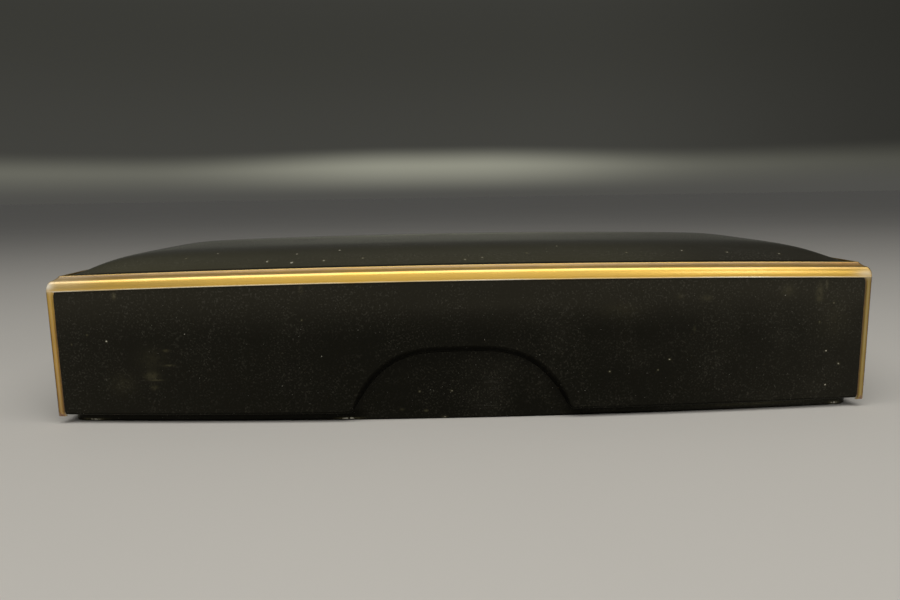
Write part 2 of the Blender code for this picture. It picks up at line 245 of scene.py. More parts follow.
class Plan:
    """Stations round the bowed rectangle, anticlockwise from the back left corner, as whole arrays."""

    def __init__(self, sizes, long_count, short_count, corner_steps, spots=()):
        self.sizes = sizes
        half_length, half_depth = sizes.length / 2, sizes.depth / 2
        ends = [(-half_length, 3 * MM, 14), (half_length, 3 * MM, 14)]
        along = spread(half_length, long_count, ends + list(spots))[1:-1] / half_length
        across = spread(half_depth, short_count, [(-half_depth, 3 * MM, 14), (half_depth, 3 * MM, 14)])
        across = across[1:-1] / half_depth
        corners = ((-1, 1), (-1, -1), (1, -1), (1, 1))
        sides = (-across, along, across, -along)
        side_x, side_y, turns = [], [], []
        for corner, ((x, y), side) in enumerate(zip(corners, sides)):
            arc = (1 + corner + np.linspace(0, 1, corner_steps)) * math.pi / 2
            runs_along = corner % 2 == 1
            side_x += [np.full(corner_steps, x), side if runs_along else np.full(len(side), x)]
            side_y += [np.full(corner_steps, y), np.full(len(side), y) if runs_along else side]
            turns += [arc, np.full(len(side), np.nan)]
        self.side_x, self.side_y, self.turn = (np.concatenate(part) for part in (side_x, side_y, turns))

    def places(self, inset, radius):
        """Shares from -1 to 1 along X and Y of each station on a loop at this inset, with round corners.

        On an arc the flat point is the corner's centre plus radius times the cosine and sine of the turn.
        On a side it is the station's share of the straight length between the two arcs.
        """
        half_x = self.sizes.length / 2 - inset
        half_y = self.sizes.depth / 2 - inset
        on_arc = ~np.isnan(self.turn)
        turn = np.where(on_arc, self.turn, 0.0)
        reach_x = self.side_x * (half_x - radius)
        reach_y = self.side_y * (half_y - radius)
        flat_x = np.where(on_arc, reach_x + radius * np.cos(turn),
                          np.where(np.abs(self.side_x) == 1, self.side_x * half_x, reach_x))
        flat_y = np.where(on_arc, reach_y + radius * np.sin(turn),
                          np.where(np.abs(self.side_y) == 1, self.side_y * half_y, reach_y))
        return flat_x / half_x, flat_y / half_y

    def bowed(self, u, v, inset):
        """X and Y of a place.

        Each is its share times the sum of the half size less the inset and the bow times 1 less the other
        share squared.
        """
        x = u * (self.sizes.length / 2 - inset + self.sizes.end_bow * (1 - v * v))
        y = v * (self.sizes.depth / 2 - inset + self.sizes.front_bow * (1 - u * u))
        return x, y

    def loops(self, inset, height, radius, arched=True):
        """Loops at these insets and heights, as an array of loops by stations by three."""
        inset, height, radius = column(inset), column(height), column(radius)
        x, y = self.bowed(*self.places(inset, radius), inset)
        z = height + (arch(self.sizes, x) if arched else 0.0) + 0 * x
        return np.stack([x, y, z], axis=-1)

    def swelled(self, inset, height, radius, steps, outward=False):
        """Loops that close over a swelled top, from its foot to the line along its middle.

        Each loop lies a distance further in. The height is the arch plus the swell at the shrunk shares.
        """
        u, v = self.places(inset, radius)
        half_x = self.sizes.length / 2 - inset
        half_y = self.sizes.depth / 2 - inset
        distance = column(half_y * np.linspace(0, 1, steps) ** 1.7)
        if outward:
            distance = distance[::-1]
        u, v = u * (1 - distance / half_x), v * (1 - distance / half_y)
        x, y = self.bowed(u, v, inset)
        return np.stack([x, y, height + arch(self.sizes, x) + swell(self.sizes, u, v)], axis=-1)


def arch(sizes, x):
    """Height that the top gains lengthwise: the crown times 1 less the squared share of the half length."""
    return sizes.edge_crown * (1 - (x / (sizes.length / 2)) ** 2)


def swell(sizes, u, v):
    """Swell of the top: its rise times 1 less a high power of each share."""
    return (sizes.dome_rise * (1 - np.abs(u) ** sizes.dome_power_length)
            * (1 - np.abs(v) ** sizes.dome_power_depth))


def notch_lift(sizes, x):
    """Height of the walls' lower edge over its foot, and the stretch of a small round along it.

    The curve is the notch's height times 1 less a power of the share of its half width, kept over zero by
    half of its sum with the root of its square plus a small square, which rounds the two feet. The stretch
    is the root of 1 plus the squared slope.
    """
    ease = 1.1 * MM
    height, fullness, half = sizes.notch_height, sizes.notch_power, sizes.notch_width / 2
    share = np.abs(x - sizes.notch_place) / half
    curve = height * (1 - share ** fullness)
    root = np.sqrt(curve ** 2 + ease ** 2)
    slope = -height * fullness * share ** (fullness - 1) / half * (1 + curve / root) / 2
    return (curve + root) / 2, np.sqrt(1 + slope ** 2)


def quarter(steps):
    return np.linspace(0, math.pi / 2, steps)


class Piece:
    """One object, joined from lofted grids of points with their UV map and their marks."""

    def __init__(self, name, marks=()):
        self.name = name
        self.points, self.quads, self.uvs = [], [], []
        self.marks = {mark: [] for mark in marks}
        self.count = 0

    def loft(self, grid, ring=False, **marks):
        """Add loops by stations by three. Each loop closes on itself, and a ring's last loop joins its first.

        U is the length run along the loops and V the length run from loop to loop, in metres.
        """
        rows, columns = grid.shape[:2]
        index = self.count + np.arange(rows * columns).reshape(rows, columns)
        index = np.concatenate([index, index[:, :1]], axis=1)
        if ring:
            index = np.concatenate([index, index[:1]])
        along = np.linalg.norm(np.roll(grid, -1, axis=1) - grid, axis=-1).mean(axis=0)
        across = np.linalg.norm(np.roll(grid, -1, axis=0) - grid, axis=-1).mean(axis=1)
        u = np.concatenate([[0.0], np.cumsum(along)])
        v = np.concatenate([[0.0], np.cumsum(across)])[:len(index)]
        uv = np.stack(np.broadcast_arrays(u[None, :], v[:, None]), axis=-1)
        self.quads.append(self.around(index))
        self.uvs.append(self.around(uv).reshape(-1, 2))
        self.points.append(grid.reshape(-1, 3))
        for mark, values in self.marks.items():
            values.append(np.broadcast_to(marks.get(mark, 0.0), (rows, columns)).ravel())
        self.count += rows * columns

    @staticmethod
    def around(grid):
        """The four corners of each quad of a grid, in order round it."""
        corners = np.stack([grid[:-1, :-1], grid[:-1, 1:], grid[1:, 1:], grid[1:, :-1]], axis=2)
        return corners.reshape(-1, 4, *grid.shape[2:])

    def finish(self, material, node, slot):
        mesh = bpy.data.meshes.new(self.name)
        mesh.from_pydata(np.concatenate(self.points).tolist(), [], np.concatenate(self.quads).tolist())
        mesh.uv_layers.new(name="Run").data.foreach_set("uv", np.concatenate(self.uvs).ravel())
        for mark, values in self.marks.items():
            mesh.attributes.new(mark, "FLOAT", "POINT").data.foreach_set("value", np.concatenate(values))
        shape = bmesh.new()
        shape.from_mesh(mesh)
        bmesh.ops.remove_doubles(shape, verts=shape.verts, dist=MERGE_DISTANCE)
        shape.to_mesh(mesh)
        shape.free()
        mesh.shade_smooth()
        mesh.set_sharp_from_angle(angle=CREASE_ANGLE)
        mesh.materials.append(material)
        piece = bpy.data.objects.new(self.name, mesh)
        bpy.context.scene.collection.objects.link(piece)
        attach(piece, "root")
        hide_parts(node)
        return piece


class Value:
    """A shader socket that can be reckoned with, as a number can."""

    def __init__(self, nodes, socket):
        self.nodes = nodes
        self.socket = socket

    def reckon(self, operation, *numbers):
        return self.nodes.node("ShaderNodeMath", {"operation": operation}, dict(enumerate(numbers)))

    def __add__(self, other):
        return self.reckon("ADD", self, other)

    def __radd__(self, other):
        return self.reckon("ADD", other, self)

    def __sub__(self, other):
        return self.reckon("SUBTRACT", self, other)

    def __rsub__(self, other):
        return self.reckon("SUBTRACT", other, self)

    def __mul__(self, other):
        return self.reckon("MULTIPLY", self, other)

    def __rmul__(self, other):
        return self.reckon("MULTIPLY", other, self)

    def __truediv__(self, other):
        return self.reckon("DIVIDE", self, other)

    def __pow__(self, other):
        return self.reckon("POWER", self, other)

    def __lt__(self, other):
        return self.reckon("LESS_THAN", self, other)

    def __abs__(self):
        return self.reckon("ABSOLUTE", self)

    def or_more(self, other):
        return self.reckon("MAXIMUM", self, other)

    def ramp(self, low, high):
        """0 at low and 1 at high, with a smooth run between them."""
        return self.nodes.node("ShaderNodeMapRange", {"interpolation_type": "SMOOTHSTEP"},
                               {"Value": self, "From Min": low, "From Max": high})


class Nodes:
    """The nodes of one material or of the world."""

    def __init__(self, tree):
        self.tree = tree

    def node(self, kind, settings=None, inputs=None, output=0):
        """Add a node, then its settings, then the values or links of its sockets, and give one output."""
        node = self.tree.nodes.new(kind)
        for name, value in (settings or {}).items():
            setattr(node, name, value)
        for name, value in (inputs or {}).items():
            self.feed(node.inputs[name], value)
        return Value(self, node.outputs[output])

    def feed(self, socket, value):
        if isinstance(value, Value):
            self.tree.links.new(value.socket, socket)
        elif socket.type == "RGBA" and len(value) == 3:
            socket.default_value = (*value, 1.0)
        else:
            socket.default_value = value

    def place(self):
        return self.node("ShaderNodeTexCoord", output="Object")

    def run(self):
        return self.node("ShaderNodeUVMap", {"uv_map": "Run"})

    def mark(self, name):
        return self.node("ShaderNodeAttribute", {"attribute_name": name}, output="Fac")

    def parts(self, vector):
        return [self.node("ShaderNodeSeparateXYZ", inputs={"Vector": vector}, output=k) for k in range(3)]

    def laid(self, place, scale, turn=(0.0, 0.0, 0.0)):
        """Coordinates in which a pattern one unit wide is as long as scale along the turned axes."""
        return self.node("ShaderNodeMapping", {"vector_type": "TEXTURE"},
                         {"Vector": place, "Rotation": turn, "Scale": scale})

    def noise(self, place, scale=1.0, detail=2.0, roughness=0.5):
        return self.node("ShaderNodeTexNoise", inputs={"Vector": place, "Scale": scale, "Detail": detail,
                                                       "Roughness": roughness})

    def mix(self, factor, first, second):
        return self.node("ShaderNodeMix", {"data_type": "RGBA"}, {0: factor, 6: first, 7: second}, output=2)

    def bump(self, height, distance, normal=None):
        inputs = {"Height": height, "Distance": distance}
        if normal is not None:
            inputs["Normal"] = normal
        return self.node("ShaderNodeBump", inputs=inputs)

    def hairlines(self, place, length, width, turn, thin):
        """Thin lines along one axis: where a noise drawn out that way is within thin of its middle value."""
        drawn = self.noise(self.laid(place, (length, width, width), turn), detail=1.0)
        return 1 - abs(drawn - 0.5).ramp(thin * 0.4, thin)

    def specks(self, place, cell, radius, share):
        """Round specks: one in some of the cells of a Voronoi pattern, each with its own size."""
        settings, inputs = {"feature": "F1"}, {"Vector": place, "Scale": 1 / cell}
        distance = self.node("ShaderNodeTexVoronoi", settings, inputs, output="Distance")
        chance = self.node("ShaderNodeTexVoronoi", settings, inputs, output="Color")
        chance = self.node("ShaderNodeSeparateColor", inputs={"Color": chance})
        own_radius = (radius / cell) * (0.35 + 0.65 * chance / share)
        return (chance < share) * (1 - (distance / own_radius).ramp(0.6, 1.0))

    def blot(self, place, centre, reach):
        """A soft spot in space: the exponential of minus the squared distance from its centre in reaches."""
        off = self.node("ShaderNodeVectorMath", {"operation": "SUBTRACT"}, {0: place, 1: centre})
        off = self.node("ShaderNodeVectorMath", {"operation": "DIVIDE"}, {0: off, 1: reach})
        far = self.node("ShaderNodeVectorMath", {"operation": "LENGTH"}, {0: off}, output="Value")
        return far.reckon("EXPONENT", far * far * -1.0)


class Finish(Nodes):
    """A material: its nodes, and the sockets of its shader."""

    def __init__(self, name, **constants):
        self.material = bpy.data.materials.new(name)
        self.material.use_nodes = True
        super().__init__(self.material.node_tree)
        self.shader = self.tree.nodes["Principled BSDF"]
        self.set(**constants)

    def set(self, **sockets):
        for name, value in sockets.items():
            self.feed(self.shader.inputs[name.replace("_", " ")], value)


def black_lacquer(settings, name, dusty, rough, marks):
    """Polished black lacquer: faint waves, hairlines, grain, dust, dried marks, lost depth, and painted
    sheen, glints and shade.

    Each mark has its strength, its place and its reach along the three axes.
    """
    finish = Finish(name, IOR=1.5, Specular_IOR_Level=0.08, Specular_Tint=(1.0, 0.985, 0.86))
    place = finish.place()
    x, y, z = finish.parts(place)
    broad = finish.noise(place, 9.0, 3.0)
    cloud = finish.noise(place, 46.0, 4.0, 0.6)
    fine = finish.noise(place, 420.0, 2.0)

    lines = 0.0
    for length, width, turn, thin in HAIRLINES:
        lines = finish.hairlines(place, length, width, turn, thin).or_more(lines)
    lines = lines * cloud.ramp(0.52, 0.70)
    grain = finish.noise(place, 1300.0, 2.0, 0.6).ramp(0.52, 0.72) * cloud.ramp(0.28, 0.58)

    share = settings.dust_amount * dusty
    lint = finish.laid(place, (3.2, 1.0, 1.0), (0.3, 0.7, 0.5))
    dust = finish.specks(lint, 5.3 * MM, 0.13 * MM, share)
    for cell, radius, common, strength in DUST:
        dust = dust.or_more(strength * finish.specks(place, cell, radius, common * share))
    on_top = z.ramp(59 * MM, 62 * MM)
    dust = dust.or_more(0.55 * finish.specks(place, 4.1 * MM, 0.20 * MM, share) * on_top)

    smudge_and_glint = 0.0
    for strength, centre, reach in marks:
        smudge_and_glint = finish.blot(place, centre, reach) * strength + smudge_and_glint
    smudge_and_glint = smudge_and_glint * finish.noise(place, 900.0, 2.0).ramp(0.20, 0.55)

    haze = broad.ramp(0.45, 0.72) * cloud.ramp(0.40, 0.70)
    # Painted sheen: lighter black up the wall, towards the ends, in a warm strip of painted reflection across
    # the front, and on the swelled top
    upper_wall = z.ramp(33 * MM, 56 * MM)
    swelled_top = z.ramp(57 * MM, 64 * MM)
    warm_reflection = finish.blot(place, (12 * MM, -86 * MM, 47 * MM), (55 * MM, 20 * MM, 3 * MM))
    bloom_and_sheen = upper_wall * 0.80 + (x / HALF_LENGTH) ** 2 * 0.42 + warm_reflection * 0.2 + swelled_top * 0.35
    bloom_and_sheen = bloom_and_sheen * (0.75 + 0.5 * broad)
    # Lighter black towards the front of the swelled top, most at the left
    top_front = z.ramp(57 * MM, 62 * MM) * (1 - y.ramp(-68 * MM, -30 * MM))
    lighter_top = top_front * ((1 - x.ramp(50 * MM, 120 * MM)) * 0.45 + (1 - x.ramp(-140 * MM, -60 * MM)) * 0.25)

    # Painted shade: the edge mark darkens the black and, through Metallic, takes away its reflection
    edge = finish.mark("edge")
    rub = edge.ramp(0.7, 0.95) * finish.noise(place, 210.0, 3.0, 0.7).ramp(0.62, 0.68)
    colour = finish.mix(bloom_and_sheen, settings.black, settings.bloom_and_sheen)
    colour = finish.mix(haze * 0.3 + grain * 0.7, colour, settings.bloom_and_sheen)
    colour = finish.mix(lighter_top, colour, settings.lighter_top)
    colour = finish.mix(grain * (0.012 + 0.040 * bloom_and_sheen), colour, settings.dust)
    colour = finish.mix(edge, colour, settings.painted_shade_black)
    colour = finish.mix(rub, colour, settings.rubbed)
    colour = finish.mix(lines * 0.022, colour, settings.dust)
    colour = finish.mix(smudge_and_glint * 0.30, colour, settings.stain)
    # Strong marks turn pale: dust specks, and the painted glints along the tray's foot
    colour = finish.mix(smudge_and_glint.ramp(0.5, 1.0) * 0.9, colour, settings.dust)
    colour = finish.mix(dust * 0.55, colour, settings.dust)
    roughness = rough + 0.05 * haze + 0.03 * fine + 0.10 * lines + 0.25 * rub + 0.30 * smudge_and_glint + 0.45 * dust

    waves = finish.bump(finish.noise(place, 30.0, 1.0), 0.030 * MM)
    skin = finish.bump(finish.noise(place, 260.0, 2.0), 0.0016 * MM, waves)
    scored = finish.bump(dust * 0.04 * MM - lines * 0.004 * MM - rub * 0.02 * MM, 1.0, skin)
    finish.set(Base_Color=colour, Roughness=roughness, Metallic=edge * (1 - rub) * 0.9, Normal=scored)
    return finish.material


def gold_lacquer(settings):
    """Gold lacquer: streaks along the moulding, painted shade on the slope and beads, painted highlights and
    glints, brown bead borders and wear.
    """
    finish = Finish("gold lacquer", IOR=1.5, Coat_Weight=1.0, Coat_Roughness=0.20)
    place = finish.place()
    x, _, z = finish.parts(place)
    run = finish.run()
    streaks = finish.noise(finish.laid(run, (42 * MM, 0.55 * MM, 1.0)), detail=3.0, roughness=0.6)
    flow = finish.noise(finish.laid(run, (90 * MM, 2.2 * MM, 1.0)), detail=2.0)
    ridges = finish.noise(finish.laid(run, (160 * MM, 0.75 * MM, 1.0)), detail=1.0).ramp(0.48, 0.56)
    blotches = finish.noise(place, 120.0, 4.0, 0.65)
    grains = finish.noise(place, 2600.0, 2.0, 0.7)
    shine = finish.noise(place, 26.0, 2.0, 0.6).ramp(0.38, 0.62)
    slope, crest, bead, border = (finish.mark(name) for name in ("slope", "crest", "bead", "border"))

    # Painted shade on the slope under the fillet, mixed with darker streaks and blotches
    depth = (slope * 0.95 + (streaks - 0.5) * 0.7 + (blotches - 0.5) * 0.4).ramp(0.05, 0.95)
    colour = finish.mix(depth, settings.gold, settings.streak_and_shade_gold)
    colour = finish.mix(flow.ramp(0.52, 0.75) * 0.25, colour, settings.dull_gold)

    left_bead = bead * (1 - x.ramp(-100 * MM, 100 * MM))
    right_bead = bead * x.ramp(150 * MM, 160 * MM)
    # Painted shade: the beads are darker than the moulding, and the ones at the right darker still
    colour = finish.mix(bead * 0.95, colour, settings.shaded_bead_gold)
    colour = finish.mix(right_bead * 0.75, colour, settings.shaded_right_gold)
    colour = finish.mix(border * (0.5 + 0.5 * blotches.ramp(0.3, 0.5)), colour, settings.brown_gold)
    # Painted light on the upper left bead, and painted shade towards its foot
    colour = finish.mix(left_bead * z.ramp(36 * MM, 50 * MM) * 0.55, colour, settings.gold)
    colour = finish.mix(left_bead * (1 - z.ramp(4 * MM, 28 * MM)) * 0.4, colour, settings.brown_gold)

    def spot(strength, centre, reach):
        return finish.blot(place, [part * MM for part in centre], [part * MM for part in reach]) * strength

    red_spot = spot(0.8, (154, -81, 59.2), (11, 6, 1.6))
    colour = finish.mix(ridges * red_spot, colour, settings.red_gold)
    # Painted highlight: pale gold along the crest mark, on the lips, the bulge's top and the beads' middles
    colour = finish.mix(crest * (0.35 + 0.65 * shine), colour, settings.highlight_gold)
    # Painted glints: near-white spots on the arris and at the front corners, made hardly metallic so that
    # they stay bright
    glint = (spot(1.0, (115, -82, 55), (35, 20, 10)) + spot(0.7, (10, -88, 55), (20, 20, 10))
             + spot(0.8, (-160, -82, 55), (10, 20, 10)))
    corners = (spot(0.8, (-164.6, -80, 56.2), (2.8, 3.4, 1.8)) + spot(0.28, (-159, -81, 57.5), (13, 6, 3))
               + spot(0.48, (162.5, -80.5, 55.5), (4.5, 4, 1.6)))
    pale = (crest.ramp(0.8, 1.0) * glint).or_more(corners)
    colour = finish.mix(pale, colour, settings.polished)

    tips = (1 - z.ramp(3.6 * MM, 6.2 * MM)) * finish.noise(place, 700.0, 3.0, 0.7).ramp(0.46, 0.58)
    nicks = finish.specks(place, 6.5 * MM, 0.42 * MM, 0.5) * crest.ramp(0.45, 0.7)
    worn = tips.or_more(nicks)
    colour = finish.mix(worn * 0.9, colour, settings.bare_wood)
    roughness = settings.gold_roughness + 0.12 * (blotches - 0.5) + 0.10 * slope
    roughness = roughness - 0.12 * crest * shine + 0.3 * worn

    relief = streaks * 0.030 * MM + blotches * 0.030 * MM + grains * 0.0035 * MM - worn * 0.05 * MM
    finish.set(Base_Color=colour, Roughness=roughness, Metallic=0.95 - 0.9 * worn - 0.9 * pale,
               Normal=finish.bump(relief, 1.0))
    return finish.material


def pale_floor(settings):
    finish = Finish("pale floor", Roughness=0.62, Specular_IOR_Level=0.25)
    place = finish.place()
    mottle = finish.noise(place, 3.0, 4.0)
    shade = tuple(part * 0.93 for part in settings.floor)
    finish.set(Base_Color=finish.mix(mottle, settings.floor, shade))
    return finish.material


def wall_rows(plan, sizes, inset, radius, z_top, foot_round, steps, round_steps):
    """A wall face, from the round at its lower edge up to z_top.

    In the round, the inset is the wall's plus the radius times 1 less the sine, and the height is the lower
    edge plus the radius times its stretch times 1 less the cosine. On the notch the round grows softer, more
    in its height than in its depth. Over it the height runs evenly to the top.
    """
    # How much deeper and higher the round grows on the notch, and the lift at which it is halfway there
    deeper, higher, halfway = 1.9, 3.6, 2.5 * MM
    turn = column(quarter(round_steps))
    face = plan.loops([inset] * (round_steps + steps), 0.0, radius, arched=False)
    lift, _ = notch_lift(sizes, face[0, :, 0])
    soft = lift / (lift + halfway)
    shrink = foot_round * (1 + deeper * soft) * (1 - np.sin(turn))
    face[:round_steps, :, :2] = plan.loops(inset + shrink, 0.0, radius, arched=False)[..., :2]
    lift, stretch = notch_lift(sizes, face[..., 0])
    rise = np.abs(foot_round) * (1 + higher * soft) * stretch
    low = sizes.wall_foot + lift
    face[:round_steps, :, 2] = low[:round_steps] + rise[:round_steps] * (1 - np.cos(turn))
    start = (low + rise)[round_steps:]
    share = column(np.linspace(0, 1, steps + 1)[1:] ** 1.6)
    top = z_top + arch(sizes, face[round_steps:, :, 0])
    face[round_steps:, :, 2] = start + (top - start) * share
    return face


def make_black_lid(sizes, material):
    """The lid's whole shell, as one loft of loops.

    It runs from the middle of its underside down inside, round the foot, up outside, through the wood behind
    the moulding and over the swelled top.
    """
    half_notch = sizes.notch_width / 2
    spots = [(-half_notch, 6 * MM, 5), (half_notch, 6 * MM, 5), (0, 60 * MM, 0.7)]
    plan = Plan(sizes, 200, 70, 7, spots)
    dome_inset = sizes.edge_width + sizes.sunk_line
    dome_foot = sizes.edge_top - sizes.sunk_depth
    ledge = dome_foot - sizes.lid_board
    inner = sizes.panel_sink + sizes.lid_wall
    edge_foot = sizes.edge_top - sizes.edge_height
    inner_corner = 2.2 * MM
    outer_corner = sizes.corner_round - 0.3 * MM

    ceiling = plan.swelled(dome_inset + 1.5 * MM, ledge, inner_corner, 18, outward=True)
    shelf = plan.loops(np.linspace(dome_inset + 1.2 * MM, inner, 4), ledge, inner_corner)
    inside = wall_rows(plan, sizes, inner, inner_corner, ledge, -0.35 * MM, 9, 4)[::-1][1:]
    outside = wall_rows(plan, sizes, sizes.panel_sink, outer_corner, edge_foot + 0.5 * MM, 0.55 * MM, 16, 6)
    # Inset and rise of the loops in the wood behind the moulding
    hidden = np.array([(1.3, 0.5), (1.4, 1.8), (2.6, 4.2), (3.9, 4.9), (4.2, 5.45)]) * MM
    core = plan.loops(hidden[:, 0], edge_foot + hidden[:, 1], outer_corner)
    share = np.linspace(0, 1, 6)
    groove = plan.loops(sizes.edge_width - 0.1 * MM + (sizes.sunk_line + 0.1 * MM) * share,
                        dome_foot - 0.12 * MM * np.sin(math.pi * share), outer_corner)
    dome = plan.swelled(dome_inset, dome_foot, outer_corner, 44)[1:]
    grid = np.concatenate([ceiling, shelf, inside, outside, core, groove, dome])

    # Painted shade on each loop, dark and without reflection: round the foot and the notches, and in the sunk
    # line up to the swelled top
    foot = len(ceiling) + len(shelf) + len(inside)
    line = foot + len(outside) + len(core)
    edge = np.zeros(len(grid))
    edge[foot - 2:foot + 6] = (0.5, 1.0, 1.0, 1.0, 0.9, 0.75, 0.6, 0.4)
    edge[line:line + 10] = (0.8, 0.8, 0.8, 0.8, 0.8, 0.8, 0.8, 0.75, 0.6, 0.3)
    lid = Piece("lid_black_lacquer", ["edge"])
    lid.loft(grid, edge=edge[:, None])
    return lid.finish(material, "lid", "black_lacquer")


def edge_section():
    """Inset, rise over the edge's foot, slope mark and crest mark of the moulding, round its whole section.

    From below: an arris with round lips, a quarter of an ellipse, a slope that dips under its chord by a
    sine, and a fillet with round lips. The way back runs inside the wood.
    """
    cos, sin = math.cos, math.sin
    lip = quarter(5)
    bulge = np.linspace(0.03, math.pi / 2, 18)
    slope = np.linspace(0, 1, 8)
    # The slope mark places painted shade on the slope, and on one point of the way back. The crest mark
    # places painted highlights on the lips and on the top of the bulge
    section = [(1.5, 0.3, 0, 0), (0.62, 0.05, 0, 0)]
    section += [(0.15 - 0.15 * sin(t), 0.19 - 0.15 * cos(t), 0, 1) for t in lip]
    section += [(0.06 - 0.06 * cos(t), 0.38 + 0.08 * sin(t), 0, 1.0 - 0.6 * t / lip[-1]) for t in lip[1:]]
    section += [(0.05 + 1.85 * (1 - cos(t)), 0.46 + 3.90 * sin(t), 0, 0.4 * sin(t) ** 5) for t in bulge]
    section += [(1.97 + 1.55 * s, 4.41 + 1.25 * s - 0.12 * sin(math.pi * s), 0.5 + 0.5 * s, 0) for s in slope]
    section += [(3.58 + 0.13 * (1 - cos(t)), 5.80 + 0.13 * sin(t), 0, 0.75 * sin(t)) for t in lip]
    section += [(4.27 + 0.13 * sin(t), 5.80 + 0.13 * cos(t), 0, 0.75 - t / 3) for t in lip]
    section += [(4.4, 5.3, 0.8, 0), (4.3, 4.6, 0, 0), (2.5, 3.4, 0, 0)]
    section = np.array(section)
    section[:, :2] *= MM
    return section


def make_gilding(sizes, material):
    """The gilt moulded edge, a section carried round the plan, and four gilt beads, sections carried up."""
    gilding = Piece("lid_gilding", ["slope", "crest", "bead", "border"])
    plan = Plan(sizes, 300, 150, 9)
    section = edge_section()
    foot = sizes.edge_top - sizes.edge_height
    edge = plan.loops(section[:, 0], foot + section[:, 1], sizes.corner_round)
    gilding.loft(edge, ring=True, slope=section[:, 2:3], crest=section[:, 3:4])
    for side_x, side_y in ((-1, -1), (1, -1), (1, 1), (-1, 1)):
        grid, crest, border = corner_bead(plan, sizes, side_x, side_y)
        gilding.loft(grid, crest=crest, border=border, bead=1.0)
    return gilding.finish(material, "lid", "gold_lacquer")


def corner_bead(plan, sizes, side_x, side_y):
    """A gilt bead down one corner, as loops round its section from its foot to its top.

    The section runs along one wall, round the corner and along the other wall, and back inside the wood as
    the mirror of each point in a line one wall's depth in. Near the foot and the top it widens as an
    exponential of the height, and at both ends it closes onto that line.
    """
    width, sink, radius = sizes.bead_width, sizes.panel_sink, sizes.corner_round
    lip = quarter(5)
    along = np.concatenate([
        [width + 0.05 * MM, width],
        width - 0.10 * MM - 0.38 * MM * np.sin(lip),
        np.linspace(width - 0.7 * MM, radius + 0.2 * MM, 4),
        radius * (1 - np.sin(quarter(7)))])
    inward = np.concatenate([
        [sink + 0.15 * MM, sink],
        (sink - 0.02 * MM) * (1 - np.sin(lip)),
        np.zeros(4),
        radius * (1 - np.cos(quarter(7)))])
    # Crest marks a painted highlight down the bead's middle; border marks its browner edges
    crest = np.concatenate([np.zeros(7), [0.0, 0.2, 0.2, 0.0], np.zeros(7)])
    border = np.concatenate([[1.0, 1.0, 0.8, 0.6, 0.4, 0.2], np.zeros(4), [0.1], np.sin(quarter(7)) ** 0.5])
    one_wall = np.stack([along, inward], axis=-1)
    other_wall = one_wall[-2::-1, ::-1]
    outer = np.concatenate([one_wall, other_wall])
    crest, border = (np.concatenate([mark, mark[-2::-1]]) for mark in (crest, border))
    line = np.maximum(outer, 1.0 * MM)
    inner = 2 * line - outer

    low, high = sizes.bead_foot, sizes.edge_top - sizes.edge_height + 0.35 * MM
    turn = quarter(5)
    end_round = 0.45 * MM
    closing = np.concatenate([[1.0, 0.6], 0.5 * (1 - np.sin(turn)), np.zeros(30), [0.6, 1.0]])
    heights = np.concatenate([[low] * 2, low + end_round * (1 - np.cos(turn)),
                              np.linspace(low + end_round, high, 31)[1:], [high + 0.1 * MM] * 2])
    closing, heights = closing[:, None, None], heights[:, None]
    flare = 1 + 0.42 * np.exp(-(heights - low) / (0.75 * MM)) + 0.30 * np.exp(-(high - heights) / (0.8 * MM))
    wide = np.where(outer[None] > width * 0.4, outer[None] * flare[..., None], outer[None])
    wide = wide + (line - wide) * closing
    back = inner[None, ::-1] + (line - inner)[None, ::-1] * closing
    grid = np.concatenate([wide, np.broadcast_to(back, (len(heights), *back.shape[1:]))], axis=1)

    u = side_x * (1 - grid[..., 0] / (sizes.length / 2))
    v = side_y * (1 - grid[..., 1] / (sizes.depth / 2))
    x, y = plan.bowed(u, v, 0.0)
    points = np.stack([x, y, np.broadcast_to(heights, x.shape)], axis=-1)
    crest, border = (np.broadcast_to(np.concatenate([mark, 0 * mark]), x.shape) for mark in (crest, border))
    # A painted glint at the bead's foot, on its bordered side
    crest = np.maximum(crest, border * np.exp(-((heights - low - 0.6 * MM) / (0.7 * MM)) ** 2))
    if side_x * side_y < 0:
        return points[:, ::-1], crest[:, ::-1], border[:, ::-1]
    return points, crest, border


